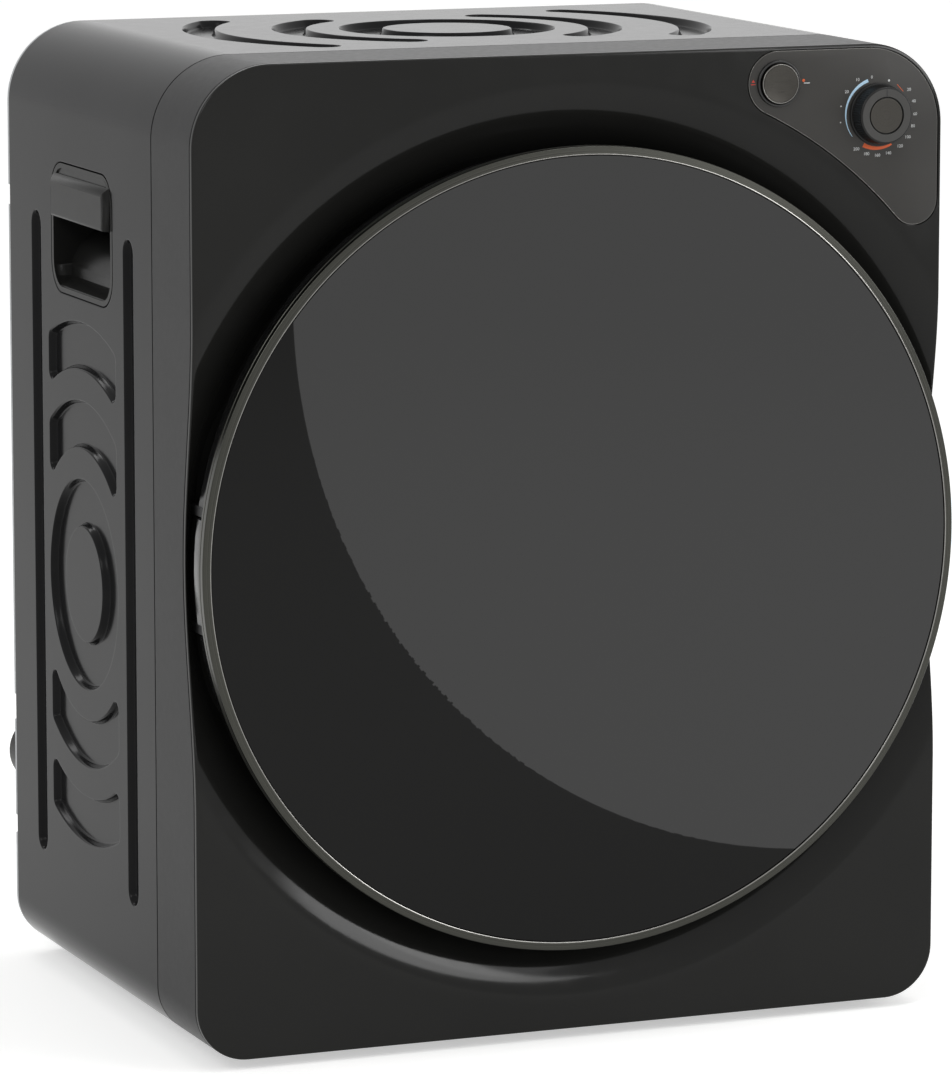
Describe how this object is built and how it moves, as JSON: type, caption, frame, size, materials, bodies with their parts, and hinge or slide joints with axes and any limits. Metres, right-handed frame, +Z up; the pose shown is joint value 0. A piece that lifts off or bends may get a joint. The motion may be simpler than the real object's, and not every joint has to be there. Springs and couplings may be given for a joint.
{
  "type": "vented tumble dryer",
  "caption": "Compact front-loading vented tumble dryer: overhanging round glass door in a dished front, corner dial and button, stamped cabinet and rear outlet.",
  "frame": {"origin": "on the floor, in the middle of the machine's overall width and depth", "axes": "+X to the right as one faces the door, +Y from the door to the back, +Z up"},
  "size_m": [0.495, 0.41, 0.605],
  "materials": {
    "cabinet_paint": "gloss",
    "frame_moulding": "satin",
    "panel_gloss": "gloss",
    "fascia_moulding": "matte",
    "galvanised": "galvanised",
    "foot_rubber": "matte",
    "bracket_steel": "zinc plated",
    "bearing_bronze": "sintered",
    "felt": "felt",
    "duct_moulding": "matte",
    "element_fins": "raw",
    "switch_moulding": "matte",
    "screw_steel": "zinc plated",
    "dark_moulding": "satin",
    "hinge_steel": "nickel plated",
    "button_ring": "dark satin",
    "motor_paint": "satin",
    "belt_rubber": "ribbed",
    "bezel_metal": "brushed",
    "door_glass": "tinted",
    "door_moulding": "gloss",
    "liner_moulding": "satin",
    "window_clear": "clear",
    "seal_rubber": "matte",
    "drum_steel": "polished",
    "lifter_moulding": "satin",
    "filter_moulding": "satin",
    "filter_mesh": "fine mesh",
    "shaft_steel": "ground",
    "fan_moulding": "matte",
    "knob_moulding": "satin",
    "knob_metal": "spun",
    "button_metal": "brushed"
  },
  "bodies": {
    "cabinet": {"cabinet_shell": "cabinet_paint", "front_frame": "frame_moulding", "front_panel": "panel_gloss", "control_fascia": "fascia_moulding", "base_pan": "galvanised", "feet": "foot_rubber", "rear_bulkhead": "galvanised", "bearing_bracket": "bracket_steel", "drum_bearing": "bearing_bronze", "rear_felt": "felt", "fan_housing": "duct_moulding", "exhaust_duct": "duct_moulding", "exhaust_collar": "dark_moulding", "heater_box": "galvanised", "heater_element": "element_fins", "thermal_switches": "switch_moulding", "rear_cover": "galvanised", "cover_screws": "screw_steel", "wall_spacers": "dark_moulding", "cord_gland": "dark_moulding", "port_collar": "liner_moulding", "front_felt": "felt", "handle_pocket_right": "dark_moulding", "handle_pocket_left": "dark_moulding", "door_catch": "dark_moulding", "hinge_bracket": "hinge_steel", "hinge_pin": "hinge_steel", "timer_body": "switch_moulding", "switch_body": "switch_moulding", "button_collar": "button_ring", "motor_body": "motor_paint", "motor_bracket": "bracket_steel", "jockey_arm": "bracket_steel", "drum_belt": "belt_rubber", "fan_belt": "belt_rubber"},
    "door": {"door_bezel": "bezel_metal", "door_glass": "door_glass", "door_ring": "door_moulding", "door_liner": "liner_moulding", "inner_window": "window_clear", "door_seal": "seal_rubber", "door_strike": "dark_moulding", "hinge_leaf": "hinge_steel"},
    "drum": {"drum_barrel": "drum_steel", "drum_back": "drum_steel", "drum_lifter_1": "lifter_moulding", "drum_lifter_2": "lifter_moulding", "drum_lifter_3": "lifter_moulding", "drum_shaft": "shaft_steel"},
    "lint_filter": {"filter_frame": "filter_moulding", "filter_screen": "filter_mesh"},
    "motor_rotor": {"motor_shaft": "shaft_steel", "fan_drive_pulley": "fan_moulding"},
    "fan": {"fan_wheel": "fan_moulding"},
    "jockey": {"jockey_pulley": "fan_moulding"},
    "knob": {"timer_knob": "knob_moulding", "knob_disc": "knob_metal", "timer_shaft": "shaft_steel"},
    "button": {"mode_button": "button_metal"}
  },
  "joints": [
    {"name": "door_hinge", "type": "hinge", "parent": "cabinet", "child": "door", "pos_m": [-0.235, -0.1848, 0.30575], "axis": [0, 0, -1], "range_deg": [0, 110]},
    {"name": "drum_spin", "type": "hinge", "parent": "cabinet", "child": "drum", "pos_m": [0, 0, 0.30575], "axis": [0, 1, 0], "continuous": true},
    {"name": "filter_pull", "type": "slide", "parent": "drum", "child": "lint_filter", "axis": [0, -1, 0], "range_m": [0, 0.06]},
    {"name": "motor_spin", "type": "hinge", "parent": "cabinet", "child": "motor_rotor", "pos_m": [0.158, 0, 0.066], "axis": [0, 1, 0], "continuous": true},
    {"name": "jockey_spin", "type": "hinge", "parent": "cabinet", "child": "jockey", "pos_m": [0.092, 0, 0.0533], "axis": [0, 1, 0], "continuous": true},
    {"name": "fan_spin", "type": "hinge", "parent": "cabinet", "child": "fan", "pos_m": [0, 0, 0.30575], "axis": [0, 1, 0], "continuous": true},
    {"name": "timer_turn", "type": "hinge", "parent": "cabinet", "child": "knob", "pos_m": [0.2004, 0, 0.5618], "axis": [0, 1, 0], "range_deg": [0, 330]},
    {"name": "button_press", "type": "slide", "parent": "cabinet", "child": "button", "axis": [0, 1, 0], "range_m": [0, 0.003], "stiffness_N_per_m": 400, "springref_m": -0.003}
  ],
  "couplings": [
    {"joint": "motor_spin", "follows": "drum_spin", "ratio": 24.644},
    {"joint": "jockey_spin", "follows": "drum_spin", "ratio": -11.202},
    {"joint": "fan_spin", "follows": "drum_spin", "ratio": 19.716}
  ]
}
